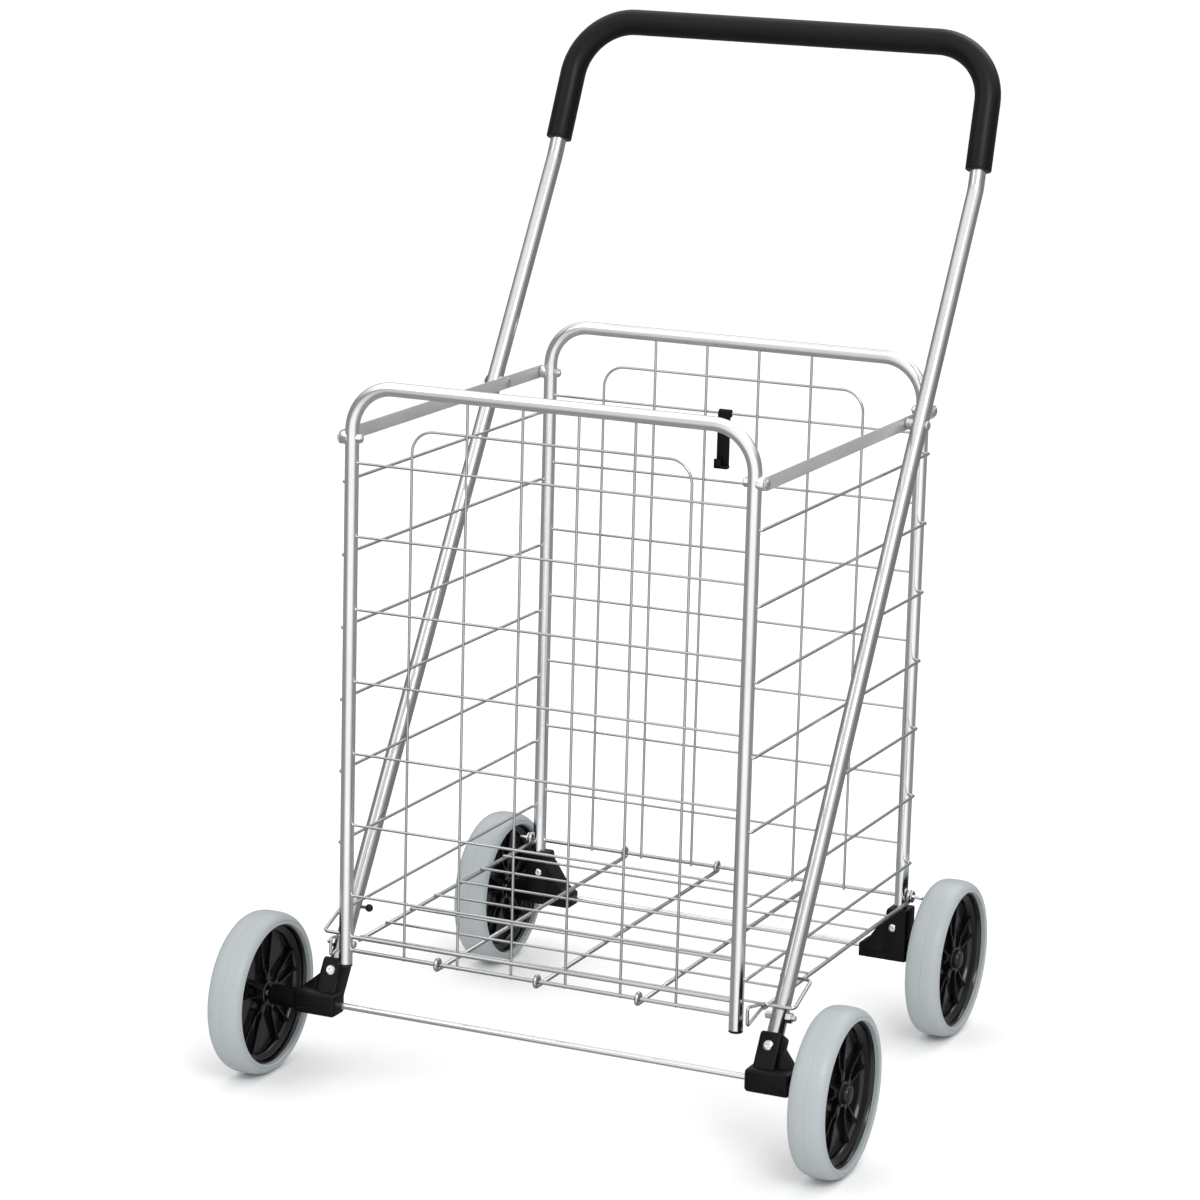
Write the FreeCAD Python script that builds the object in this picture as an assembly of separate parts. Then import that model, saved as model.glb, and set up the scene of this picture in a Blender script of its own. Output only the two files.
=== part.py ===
import FreeCAD, Part
import math
import os

# Folding shopping trolley. Millimetres, +Z up, +X to the cart's right, +Y towards
# the user. The origin is on the floor, under the middle of the whole cart's box.
#
# A front panel and a rear panel of bent tube and welded wire are joined by two
# flat straps, seven pairs of side wires and the floor, which all swing together.
# The handle carries the front wheels, is riveted to the straps and slides in a
# wire guide at its foot.

Vector = FreeCAD.Vector

# --- driving dimensions -----------------------------------------------------
running_gap = 0.3          # between parts that move past each other
pin_gap = 0.06             # radial play of a pin in its hole

basket_y = -24.35          # middle of the basket, from the origin
leg_x = 203.2              # panel legs, from the middle plane
half_depth = 216.7         # panels, from the middle of the basket
leg_radius = 6.7
tube_wall = 1.0
panel_top = 689.5          # axis of the panels' top bars
panel_corner = 42.0        # bend radius of the panels' corners
front_leg_foot = 126.0
rear_leg_foot = 92.0

grid_radius = 1.3          # thin wires of the two panels and the floor
grid_top = 616.5           # highest level wire of each panel
wire_pitch = 70.2
level_count = 7
upright_pitch = 56.6
arch_top = 653.0           # top of the inner arch of wire
arch_corner = 22.0
sill_radius = 2.0          # stouter wires along the panels' bottoms
sill_z = 140.75
upper_sill_z = 154.0

side_radius = 1.5          # side wires
side_top = 597.4
side_x = 212.0
side_bend = 2.0
hook_end_x = 205.5         # tip of a side wire's hook, inside the leg

strap_x = 213.9            # inner face of a strap
strap_thickness = 1.5
strap_height = 13.0
strap_z = 640.0
bolt_radius = 2.6
bolt_head_radius = 5.0
pivot_offset = 138.3       # handle rivet, behind the middle of the basket

handle_x = 229.2
handle_radius = 8.1
handle_wall = 1.2
handle_lean = math.radians(31.5)
handle_bend_z = 855.0      # above this the handle stands steeper
handle_top = 992.5         # axis of the handle's top bar
handle_top_x = 223.7
handle_top_offset = 324.0  # from the middle of the basket
handle_corner = 61.0
handle_foot = 88.0
grip_radius = 13.1
grip_end = 873.0

axle_radius = 3.0
axle_z = 80.0
front_axle_offset = -208.4   # from the middle of the basket
rear_axle_offset = 224.6
front_wheel_x = 300.1
rear_wheel_x = 252.0

wheel_radius = 80.0
tyre_width = 36.0
rim_radius = 69.0
rim_width = 26.0
rim_wall = 3.0
hub_radius = 13.0
hub_width = 22.0
spoke_pairs = 5

socket_width = 22.6        # front bracket's socket round the handle's foot
front_socket_top = 116.5
front_sleeve_end = 287.5
rear_sleeve_end = 239.5

rail_radius = 2.1          # stout wires of the floor
rail_x = 212.4
rail_z = 136.0
floor_bar_x = (-104.5, 0.0, 104.5)
cross_wire_first = 149.0   # rearmost cross wire, from the middle of the basket
cross_wire_pitch = 52.8
cross_wire_count = 7

guide_radius = 1.75        # wire guide round the handle's foot
guide_z = 148.0
ball_radius = 3.9
stop_bolt_z = 131.2

front_y = basket_y - half_depth
rear_y = basket_y + half_depth
pivot_y = basket_y + pivot_offset
front_axle_y = basket_y + front_axle_offset
rear_axle_y = basket_y + rear_axle_offset
handle_top_y = basket_y + handle_top_offset
guide_x = rail_x + rail_radius + running_gap + guide_radius
ball_x = rail_x + rail_radius + running_gap + ball_radius
ball_y = front_y + 77.0
ball_z = guide_z + 11.0
sides = {"left": -1, "right": 1}


# --- shapes -----------------------------------------------------------------
def save(node, shapes):
    """Write one node: a single shape, or a group of separate solids."""
    group = shapes if isinstance(shapes, list) else [shapes]
    solids = [solid for shape in group for solid in shape.Solids]
    shape = solids[0] if len(solids) == 1 else Part.makeCompound(solids)
    shape.exportStep(os.path.join("parts", node + ".step"))
    print("%-26s %2d solids %10.1f mm3" % (node, len(solids), shape.Volume))


def fused(shapes):
    """Join overlapping shapes into one."""
    if len(shapes) == 1:
        return shapes[0]
    return shapes[0].multiFuse(shapes[1:]).removeSplitter()


def rod_x(x_from, x_to, y, z, radius):
    """A cylinder along X."""
    low = min(x_from, x_to)
    return Part.makeCylinder(radius, abs(x_to - x_from), Vector(low, y, z), Vector(1, 0, 0))


def rod_between(start, end, radius):
    """A cylinder between two points."""
    start, end = Vector(*start), Vector(*end)
    return Part.makeCylinder(radius, (end - start).Length, start, end - start)


def block(x_from, x_to, y_from, y_to, z_from, z_to):
    """A box given by its limits, in any order."""
    xs, ys, zs = sorted((x_from, x_to)), sorted((y_from, y_to)), sorted((z_from, z_to))
    return Part.makeBox(xs[1] - xs[0], ys[1] - ys[0], zs[1] - zs[0], Vector(xs[0], ys[0], zs[0]))


def prism_y(outline, y_from, y_to):
    """A plate with an outline of (x, z) points, between two Y values."""
    points = [Vector(x, y_from, z) for x, z in outline]
    face = Part.Face(Part.makePolygon(points + points[:1]))
    return face.extrude(Vector(0, y_to - y_from, 0))


def prism_x(outline, x_from, x_to):
    """A plate with an outline of (y, z) points, between two X values."""
    points = [Vector(x_from, y, z) for y, z in outline]
    face = Part.Face(Part.makePolygon(points + points[:1]))
    return face.extrude(Vector(x_to - x_from, 0, 0))


def disc(centre, normal, radius):
    """A round face, for sweeping round a bend."""
    return Part.Face(Part.Wire(Part.makeCircle(radius, centre, normal)))


def bent_rod(points, bend, radius):
    """A round bar of straight runs joined by tangent bends of one radius."""
    points = [Vector(*point) for point in points]
    parts = []
    start = points[0]
    for before, corner, after in zip(points, points[1:], points[2:]):
        inward = (corner - before).normalize()
        outward = (after - corner).normalize()
        turn = inward.getAngle(outward)
        back = bend * math.tan(turn / 2)
        axis = inward.cross(outward).normalize()
        bend_start = corner - inward * back
        centre = bend_start + axis.cross(inward) * bend
        parts.append(rod_between(start, bend_start, radius))
        parts.append(disc(bend_start, inward, radius).revolve(centre, axis, math.degrees(turn)))
        start = corner + outward * back
    parts.append(rod_between(start, points[-1], radius))
    return fused(parts)


def ring_x(x, y, z, radius, wire_radius):
    """A ring of wire whose axis lies along X."""
    return Part.makeTorus(radius, wire_radius, Vector(x, y, z), Vector(1, 0, 0))


def mirror_x(shape, side):
    """The shape as built for the right side, or its mirror for the left."""
    return shape if side > 0 else shape.mirror(Vector(0, 0, 0), Vector(1, 0, 0))


def on_handle(z, offset=0.0):
    """The (y, z) point of a handle leg's axis at a height, or beside it.

    A positive offset lies in front of the leg, square to it.
    """
    y = pivot_y + (z - strap_z) * math.tan(handle_lean)
    return y - offset * math.cos(handle_lean), z + offset * math.sin(handle_lean)


# --- panels -----------------------------------------------------------------
def side_levels():
    """Heights of the side wires."""
    return [side_top - wire_pitch * level for level in range(level_count)]


def panel_outline(y, foot):
    """Corner points of a panel's inverted U."""
    return [(-leg_x, y, foot), (-leg_x, y, panel_top), (leg_x, y, panel_top), (leg_x, y, foot)]


def panel_tube(y, foot):
    """An inverted U of tube, drilled for the side wires and the strap bolts."""
    outline = panel_outline(y, foot)
    tube = bent_rod(outline, panel_corner, leg_radius)
    tube = tube.cut(bent_rod(outline, panel_corner, leg_radius - tube_wall))
    drills = []
    for side in sides.values():
        for z in side_levels():
            drills.append(rod_x(side * leg_x, side * (leg_x + 10), y, z, side_radius + pin_gap))
        drills.append(rod_x(side * (leg_x - 10), side * (leg_x + 10), y, strap_z, bolt_radius + pin_gap))
    return tube.cut(Part.makeCompound(drills))


def panel_wires(y, inward, sills):
    """The welded grid of a panel: level wires, uprights and the inner arch.

    The uprights lie on the basket's side of the level wires, and bite into
    them a little, as welded wires do.
    """
    upright_y = y + inward * (2 * grid_radius - 0.4)
    wires = []
    for level in range(level_count):
        wires.append(rod_x(-leg_x, leg_x, y, grid_top - wire_pitch * level, grid_radius))
    for z in sills:
        wires.append(rod_x(-leg_x, leg_x, y, z, sill_radius))
    for step in (-1.5, -0.5, 0.5, 1.5):
        x = step * upright_pitch
        wires.append(rod_between((x, upright_y, sill_z), (x, upright_y, panel_top), grid_radius))
    arch_x = 2.5 * upright_pitch
    arch = [(-arch_x, upright_y, sill_z), (-arch_x, upright_y, arch_top),
            (arch_x, upright_y, arch_top), (arch_x, upright_y, sill_z)]
    wires.append(bent_rod(arch, arch_corner, grid_radius))
    grid = fused(wires)
    return grid.cut(bent_rod(panel_outline(y, front_leg_foot - 60), panel_corner, leg_radius))


def strap_spacers(y):
    """The domed collars that hold the straps off the legs."""
    spacers = []
    for side in sides.values():
        collar = rod_x(leg_x, strap_x - running_gap, y, strap_z, 6.5)
        collar = collar.cut(Part.makeCylinder(leg_radius, 60, Vector(leg_x, y, strap_z - 30)))
        collar = collar.cut(rod_x(leg_x - 1, strap_x, y, strap_z, bolt_radius + pin_gap))
        spacers.append(mirror_x(collar, side))
    return spacers


def strap_bolts(y):
    """The bolts of the straps: a domed head outside, a nut inside the leg."""
    bolts = []
    head_x = strap_x + strap_thickness + running_gap
    nut_x = leg_x - leg_radius
    for side in sides.values():
        shank = rod_x(nut_x - 4.5, head_x + 1.0, y, strap_z, bolt_radius)
        dome = Part.makeSphere(8.0, Vector(head_x - 5.2, y, strap_z))
        dome = dome.common(rod_x(head_x, head_x + 4, y, strap_z, bolt_head_radius))
        nut = rod_x(nut_x - 3.6, nut_x, y, strap_z, 4.8)
        nut = nut.cut(Part.makeCylinder(leg_radius, 20, Vector(leg_x, y, strap_z - 10)))
        bolts.append(mirror_x(fused([shank, dome, nut]), side))
    return bolts


def strap(side):
    """A flat bar with rounded ends, drilled for its bolts and the handle's rivet."""
    x_to = strap_x + strap_thickness
    bar = block(strap_x, x_to, front_y, rear_y, strap_z - strap_height / 2, strap_z + strap_height / 2)
    ends = [rod_x(strap_x, x_to, y, strap_z, strap_height / 2) for y in (front_y, rear_y)]
    bar = fused([bar] + ends)
    for y in (front_y, pivot_y, rear_y):
        bar = bar.cut(rod_x(strap_x - 1, x_to + 1, y, strap_z, bolt_radius + pin_gap))
    return mirror_x(bar, side)


def side_wire(side, z):
    """A side wire, with an end hooked into each leg."""
    points = [(side * hook_end_x, front_y, z), (side * side_x, front_y, z),
              (side * side_x, rear_y, z), (side * hook_end_x, rear_y, z)]
    return bent_rod(points, side_bend, side_radius)


def leg_caps():
    """The plugs in the feet of the front legs."""
    caps = []
    for side in sides.values():
        flange = Part.makeCylinder(leg_radius, 1.5, Vector(side * leg_x, front_y, front_leg_foot - 1.5))
        plug = Part.makeCylinder(leg_radius - tube_wall - pin_gap, 9,
                                 Vector(side * leg_x, front_y, front_leg_foot - 1))
        caps.append(fused([flange, plug]))
    return caps


# --- floor ------------------------------------------------------------------
def floor_panel():
    """Rails, bars and cross wires of the floor, with eyes at the bars' ends."""
    eye_radius = sill_z - rail_z
    wires = []
    for x in floor_bar_x:
        wires.append(rod_between((x, front_y + 1.5, rail_z), (x, rear_y - 1.5, rail_z), rail_radius))
        wires.append(ring_x(x, front_y, sill_z, eye_radius, rail_radius))
        wires.append(ring_x(x, rear_y, sill_z, eye_radius, rail_radius))
    last_wire = basket_y + cross_wire_first - cross_wire_pitch * (cross_wire_count - 1)
    for side in sides.values():
        wires.append(rod_between((side * rail_x, last_wire - 5, rail_z),
                                 (side * rail_x, rear_y - 1.5, rail_z), rail_radius))
        wires.append(ring_x(side * rail_x, rear_y, sill_z, eye_radius, rail_radius))
    cross_z = rail_z + rail_radius + grid_radius - 0.4
    for number in range(cross_wire_count):
        y = basket_y + cross_wire_first - cross_wire_pitch * number
        wires.append(rod_x(-rail_x - 1, rail_x + 1, y, cross_z, grid_radius))
    return fused(wires)


def floor_hinge_pins():
    """Pins on the rear legs that the floor's rails turn on."""
    pins = []
    leg_face = leg_x + leg_radius
    for side in sides.values():
        pin = rod_x(leg_face - 1.0, 226.0, rear_y, sill_z, 2.0)
        washer = rod_x(rail_x + rail_radius + running_gap, rail_x + rail_radius + 1.5, rear_y, sill_z, 6.0)
        pin = fused([pin, washer])
        pin = pin.cut(Part.makeCylinder(leg_radius, 30, Vector(leg_x, rear_y, sill_z - 15)))
        pins.append(mirror_x(pin, side))
    return pins


# --- brackets and axles -----------------------------------------------------
def front_bracket(side):
    """The plastic foot of the handle: a socket for the tube over an axle arm."""
    half = socket_width / 2
    top, foot = front_socket_top, axle_z - 4.0
    socket = [on_handle(top, half), on_handle(top, -half), on_handle(foot, -half), on_handle(foot, half)]
    parts = [prism_x(socket, handle_x - half, handle_x + half)]
    arm = block(213.8, 259.0, front_axle_y - 12, front_axle_y + 12, axle_z - 10.5, axle_z + 12)
    parts.append(arm.makeFillet(4.0, [edge for edge in arm.Edges if abs(edge.tangentAt(0).x) > 0.9]))
    parts.append(rod_x(250.0, front_sleeve_end, front_axle_y, axle_z, 10.5))
    gusset = [(handle_x + 8, 82.0), (258.5, 82.0), (258.5, 89.0), (handle_x + 12, 102.0),
              (handle_x + 13, 112.0), (handle_x + 8, 113.0)]
    slanted = [Vector(x, on_handle(z)[0] - 5, z) for x, z in gusset]
    parts.append(Part.Face(Part.makePolygon(slanted + slanted[:1])).extrude(Vector(0, 10, 0)))
    bracket = fused(parts)
    top, foot = on_handle(140.0), on_handle(handle_foot)
    bracket = bracket.cut(rod_between((handle_x, *foot), (handle_x, *top), handle_radius + pin_gap))
    bracket = bracket.cut(rod_x(200.0, 300.0, front_axle_y, axle_z, axle_radius + pin_gap))
    return mirror_x(bracket, side)


def rear_bracket(side):
    """The plastic foot of a rear leg: a socket, an inner web and an axle arm."""
    outline = [(163.0, 73.0), (214.0, 73.0), (214.0, 128.0), (192.0, 128.0), (190.0, 118.0), (163.0, 82.0)]
    parts = [prism_y(outline, rear_y - 11.0, rear_y + 14.0)]
    parts.append(block(213.0, 232.0, rear_axle_y - 12, rear_axle_y + 12, 73.0, 94.0))
    parts.append(rod_x(230.0, rear_sleeve_end, rear_axle_y, axle_z, 11.0))
    bracket = fused(parts)
    bracket = bracket.cut(Part.makeCylinder(leg_radius + pin_gap, 60, Vector(leg_x, rear_y, rear_leg_foot)))
    bracket = bracket.cut(rod_x(150.0, 250.0, rear_axle_y, axle_z, axle_radius + pin_gap))
    return mirror_x(bracket, side)


def rivet_heads(point, direction, radius):
    """Domed rivet heads standing on a face, at a point and at its mirror."""
    x, y, z = point
    heads = []
    for side in sides.values():
        centre = Vector(side * x, y, z)
        dome = Part.makeSphere(radius * 1.25, centre - direction * radius * 0.6)
        heads.append(dome.common(Part.makeCylinder(radius, radius, centre, direction)))
    return heads


def axle(y, wheel_x):
    """A plain rod that ends inside the hub caps."""
    reach = wheel_x + hub_width / 2 + 3.0
    return rod_x(-reach, reach, y, axle_z, axle_radius)


# --- handle -----------------------------------------------------------------
def handle_outline():
    """Corner points of the handle's U, from its left foot to its right one."""
    right = [(handle_top_x, handle_top_y, handle_top), (handle_x, *on_handle(handle_bend_z)),
             (handle_x, *on_handle(handle_foot))]
    return [(-x, y, z) for x, y, z in reversed(right)] + right


def grip_outline():
    """Corner points of the part of the U that the grip covers."""
    top, bend = Vector(*handle_outline()[3]), Vector(*handle_outline()[4])
    end = bend + (top - bend) * (grip_end - handle_bend_z) / (handle_top - handle_bend_z)
    return [(-end.x, end.y, end.z), (-top.x, top.y, top.z), tuple(top), tuple(end)]


def handle_tube():
    """The handle's U of tube, drilled for its rivets and stop bolts."""
    tube = bent_rod(handle_outline(), handle_corner, handle_radius)
    tube = tube.cut(bent_rod(handle_outline(), handle_corner, handle_radius - handle_wall))
    stop_y, stop_z = on_handle(stop_bolt_z)
    drills = []
    for side in sides.values():
        near, far = side * (handle_x - 12), side * (handle_x + 12)
        drills.append(rod_x(near, far, pivot_y, strap_z, bolt_radius + pin_gap))
        drills.append(rod_x(near, far, stop_y, stop_z, bolt_radius + pin_gap))
    return tube.cut(Part.makeCompound(drills))


def handle_grip():
    """The sleeve over the handle's top bar and both corners."""
    sleeve = bent_rod(grip_outline(), handle_corner, grip_radius)
    return sleeve.cut(bent_rod(grip_outline(), handle_corner, handle_radius + pin_gap))


def handle_rivets():
    """The rivets that carry the handle on the straps."""
    rivets = []
    inner = strap_x - running_gap
    outer = handle_x + handle_radius
    for side in sides.values():
        shank = rod_x(inner - 1.5, outer + 1.5, pivot_y, strap_z, bolt_radius)
        inner_head = rod_x(inner - 1.6, inner, pivot_y, strap_z, 4.6)
        outer_head = rod_x(outer - 1.5, outer + 2.0, pivot_y, strap_z, 4.6)
        outer_head = outer_head.cut(handle_core())
        rivets.append(mirror_x(fused([shank, inner_head, outer_head]), side))
    return rivets


def handle_core():
    """The right handle leg as a solid bar, for trimming what stands on it."""
    return rod_between((handle_x, *on_handle(100.0)), (handle_x, *on_handle(800.0)), handle_radius)


def handle_spacers():
    """The collars between the straps and the handle."""
    spacers = []
    for side in sides.values():
        collar = rod_x(strap_x + strap_thickness + running_gap, handle_x, pivot_y, strap_z, 5.5)
        collar = collar.cut(handle_core())
        collar = collar.cut(rod_x(strap_x, handle_x, pivot_y, strap_z, bolt_radius + pin_gap))
        spacers.append(mirror_x(collar, side))
    return spacers


def stop_bolts():
    """Bolts through the handle's foot that the wire guide rests on."""
    y, z = on_handle(stop_bolt_z)
    bolts = []
    for side in sides.values():
        shank = rod_x(rail_x + rail_radius + 0.6, handle_x + 16.0, y, z, bolt_radius)
        head = rod_x(rail_x + rail_radius + 0.6, handle_x - 4, y, z, 3.6).cut(handle_core())
        nut = rod_x(handle_x + 4, handle_x + 14.5, y, z, 5.0).cut(handle_core())
        bolts.append(mirror_x(fused([shank, head, nut]), side))
    return bolts


# --- wire guide -------------------------------------------------------------
def guide_hook(side):
    """The bent wire that runs round the handle's foot beside the front leg."""
    outer_x = handle_x + handle_radius + 9.0
    front, low = front_y + 36.0, guide_z - 5.0
    loop = [(guide_x, front - 13.0, low + 14.0), (guide_x, front, low), (outer_x, front, low),
            (outer_x, ball_y, ball_z), (ball_x, ball_y, ball_z)]
    eye = [(guide_x, front - 2.0, low + 3.0), (guide_x, front_y - 5.5, low + 4.0),
           (guide_x, front_y - 5.5, low - 9.0), (guide_x, front - 1.0, low - 1.0)]
    return mirror_x(fused([bent_rod(loop, 5.0, guide_radius), bent_rod(eye, 2.5, guide_radius - 0.2)]), side)


def guide_tips():
    """Rubber balls on the guides' inner ends."""
    balls = []
    for side in sides.values():
        ball = Part.makeSphere(ball_radius, Vector(ball_x, ball_y, ball_z))
        ball = ball.cut(rod_x(ball_x - pin_gap, ball_x + 10, ball_y, ball_z, guide_radius + pin_gap))
        balls.append(mirror_x(ball, side))
    return balls


# --- wheels -----------------------------------------------------------------
def tyre(x, y):
    """A plain crowned tyre."""
    half = tyre_width / 2
    lip = rim_radius + 3.0
    shoulder = wheel_radius - 5.0
    outline = [Vector(-half + 1, rim_radius, 0), Vector(-half, lip, 0), Vector(-half, shoulder, 0)]
    crown = Part.Arc(outline[2], Vector(0, wheel_radius, 0), Vector(half, shoulder, 0)).toShape()
    edges = [Part.makeLine(outline[0], outline[1]), Part.makeLine(outline[1], outline[2]), crown,
             Part.makeLine(Vector(half, shoulder, 0), Vector(half, lip, 0)),
             Part.makeLine(Vector(half, lip, 0), Vector(half - 1, rim_radius, 0)),
             Part.makeLine(Vector(half - 1, rim_radius, 0), outline[0])]
    body = Part.Face(Part.Wire(edges)).revolve(Vector(0, 0, 0), Vector(1, 0, 0), 360)
    body.translate(Vector(x, y, axle_z))
    return body


def rim(x, y):
    """A dished plastic wheel with pairs of ribs from the hub to the rim."""
    hoop = rod_x(-rim_width / 2, rim_width / 2, 0, 0, rim_radius)
    hoop = hoop.cut(rod_x(-rim_width / 2 - 1, rim_width / 2 + 1, 0, 0, rim_radius - rim_wall))
    parts = [hoop, rod_x(-hub_width / 2, hub_width / 2, 0, 0, hub_radius)]
    for number in range(spoke_pairs):
        turn = 360.0 / spoke_pairs * number
        for splay in (-9.0, 9.0):
            rib = block(-5.0, 5.0, -1.4, 1.4, hub_radius - 2.0, rim_radius - 1.0)
            rib.rotate(Vector(0, 0, hub_radius), Vector(1, 0, 0), splay)
            rib.rotate(Vector(0, 0, 0), Vector(1, 0, 0), turn)
            parts.append(rib)
    body = fused(parts)
    body = body.common(rod_x(-rim_width / 2, rim_width / 2, 0, 0, rim_radius))
    body = body.cut(rod_x(-20, 20, 0, 0, axle_radius + pin_gap))
    body.translate(Vector(x, y, axle_z))
    return body


def hub_cap(side, x, y):
    """The cap over an axle's end."""
    face = x + side * hub_width / 2
    cap = rod_x(face, face + side * 5.0, y, axle_z, 9.0)
    return cap.cut(rod_x(face - side, face + side * 3.5, y, axle_z, axle_radius + running_gap))


# --- latch ------------------------------------------------------------------
def latch_clip():
    """The clip that hangs on the rear panel's top wire and ties the folded cart."""
    left, right = -14.0, -0.5
    top_ring = rod_x(left, right, rear_y, grid_top, grid_radius + running_gap + 2.6)
    plate = block(left, right, rear_y - 4.4, rear_y - 1.8, grid_top - 54.0, grid_top)
    foot = block(left - 1.0, right + 0.5, rear_y - 9.0, rear_y - 1.8, grid_top - 56.0, grid_top - 46.0)
    foot = foot.cut(block(-5.0, 3.0, rear_y - 7.0, rear_y - 3.8, grid_top - 53.0, grid_top - 48.0))
    clip = fused([top_ring, plate, foot])
    return clip.cut(rod_x(left - 2, right + 2, rear_y, grid_top, grid_radius + running_gap))


# --- assembly ---------------------------------------------------------------
def build_panels():
    """Write the two panels and what is fixed to them."""
    save("rear_panel_tube", panel_tube(rear_y, rear_leg_foot))
    save("rear_panel_wires", panel_wires(rear_y, -1, [sill_z]))
    save("rear_strap_spacers", strap_spacers(rear_y))
    save("rear_strap_bolts", strap_bolts(rear_y))
    save("floor_hinge_pins", floor_hinge_pins())
    save("front_panel_tube", panel_tube(front_y, front_leg_foot))
    save("front_panel_wires", panel_wires(front_y, 1, [sill_z, upper_sill_z]))
    save("front_strap_spacers", strap_spacers(front_y))
    save("front_strap_bolts", strap_bolts(front_y))
    save("front_leg_caps", leg_caps())


def build_links():
    """Write the straps, the side wires and the floor."""
    for name, side in sides.items():
        save("strap_" + name, strap(side))
        for level, z in enumerate(side_levels(), 1):
            save("side_wire_%s_%d" % (name, level), side_wire(side, z))
    save("floor_panel", floor_panel())


def build_feet():
    """Write the brackets, their rivets and the axles."""
    for name, side in sides.items():
        save("front_bracket_" + name, front_bracket(side))
        save("rear_bracket_" + name, rear_bracket(side))
    front_face = Vector(0, -math.cos(handle_lean), math.sin(handle_lean))
    front_point = (handle_x, *on_handle(104.6, socket_width / 2))
    save("front_bracket_rivets", rivet_heads(front_point, front_face, 5.4))
    save("rear_bracket_rivets", rivet_heads((leg_x - 4, rear_y - 11.0, 108.0), Vector(0, -1, 0), 4.4))
    save("front_axle", axle(front_axle_y, front_wheel_x))
    save("rear_axle", axle(rear_axle_y, rear_wheel_x))


def build_handle():
    """Write the handle, its fasteners and the wire guides."""
    save("handle_tube", handle_tube())
    save("handle_grip", handle_grip())
    save("handle_rivets", handle_rivets())
    save("handle_spacers", handle_spacers())
    save("stop_bolts", stop_bolts())
    for name, side in sides.items():
        save("guide_hook_" + name, guide_hook(side))
    save("guide_tips", guide_tips())


def build_wheels():
    """Write the four wheels."""
    places = {"front": (front_wheel_x, front_axle_y), "rear": (rear_wheel_x, rear_axle_y)}
    for end, (x, y) in places.items():
        for name, side in sides.items():
            wheel = "%s_%s_" % (end, name)
            save(wheel + "tyre", tyre(side * x, y))
            save(wheel + "rim", rim(side * x, y))
            save(wheel + "hub_cap", hub_cap(side, side * x, y))


os.makedirs("parts", exist_ok=True)
build_panels()
build_links()
build_feet()
build_handle()
build_wheels()
save("latch_clip", latch_clip())
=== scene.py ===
"""The finished look of a folding shopping trolley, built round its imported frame.

Sizes are in millimetres until a piece is finished, when it is scaled to metres.
"""

import logging
import math
from dataclasses import dataclass
from enum import Enum
from functools import cache
from typing import Iterable, Sequence

import bmesh
import bpy
from mathutils import Matrix, Vector


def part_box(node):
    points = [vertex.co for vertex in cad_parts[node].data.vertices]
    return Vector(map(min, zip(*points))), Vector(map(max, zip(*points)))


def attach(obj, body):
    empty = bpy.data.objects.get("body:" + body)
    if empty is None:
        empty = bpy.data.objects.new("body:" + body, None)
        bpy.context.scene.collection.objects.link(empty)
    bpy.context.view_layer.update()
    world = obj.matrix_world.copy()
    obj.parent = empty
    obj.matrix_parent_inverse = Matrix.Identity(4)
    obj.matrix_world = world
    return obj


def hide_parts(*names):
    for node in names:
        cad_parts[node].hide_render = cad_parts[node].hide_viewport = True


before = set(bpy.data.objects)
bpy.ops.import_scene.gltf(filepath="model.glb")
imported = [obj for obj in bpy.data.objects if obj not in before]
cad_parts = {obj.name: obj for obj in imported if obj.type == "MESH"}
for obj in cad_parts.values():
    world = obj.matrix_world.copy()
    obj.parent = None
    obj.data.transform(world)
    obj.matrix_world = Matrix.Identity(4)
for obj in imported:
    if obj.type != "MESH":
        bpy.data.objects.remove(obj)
LOG = logging.getLogger("trolley")
MM = 0.001
X, Y, Z = Vector((1, 0, 0)), Vector((0, 1, 0)), Vector((0, 0, 1))

# Short names of types.
Mesh, Edges = bmesh.types.BMesh, list[bmesh.types.BMEdge]
Pair = tuple[float, float]
Outline = list[Pair]
Socket = bpy.types.NodeSocket

# Measures that several sub-assemblies share, in millimetres.
HANDLE_RADIUS = 8.1
FRONT_LEG_FOOT = 126.0
REAR_LEG_FOOT = 92.0
SILL_Z = 140.75
LEVELS = 7
PITCH = 70.2
GRID_TOP = 616.5
SHORTEST_RUN = 0.01


class Side(Enum):
    """The two sides of the trolley, with the sign of X on each."""

    LEFT = -1
    RIGHT = 1

    @property
    def word(self) -> str:
        """The side's name as the nodes spell it."""
        return self.name.lower()


class Tip(Enum):
    """How the end of a bar is finished, as a share of its radius."""

    SQUARE = 0.0
    EASED = 0.25
    ROUND = 0.8


# --- shape tools -------------------------------------------------------------
def aim(direction: Vector, at: Vector) -> Matrix:
    """Matrix that puts the origin at a point and the Z axis along a direction.

    Args:
        direction: The way the Z axis should point.
        at: Where the origin should go.

    Returns:
        The placing matrix.
    """
    return Matrix.Translation(at) @ direction.to_track_quat("Z", "Y").to_matrix().to_4x4()


def unique(items: Iterable) -> list:
    """The items in their order, each of them once."""
    return list(dict.fromkeys(items))


def verts_of(made: Iterable) -> list[bmesh.types.BMVert]:
    """The vertices among the geometry that an operator has made."""
    return [item for item in made if isinstance(item, bmesh.types.BMVert)]


def edges_of(made: Iterable) -> Edges:
    """The edges among the geometry that an operator has made."""
    return [item for item in made if isinstance(item, bmesh.types.BMEdge)]


def pull(bm: Mesh, loop: list, step: Vector) -> Edges:
    """Extrude a loop of edges in a straight line.

    Args:
        bm: Mesh being built.
        loop: Edges to extrude.
        step: How far and which way.

    Returns:
        The new loop.
    """
    made = bmesh.ops.extrude_edge_only(bm, edges=loop)["geom"]
    fresh = set(verts_of(made))
    bmesh.ops.translate(bm, vec=step, verts=list(fresh))
    return [edge for edge in edges_of(made) if fresh.issuperset(edge.verts)]


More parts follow.
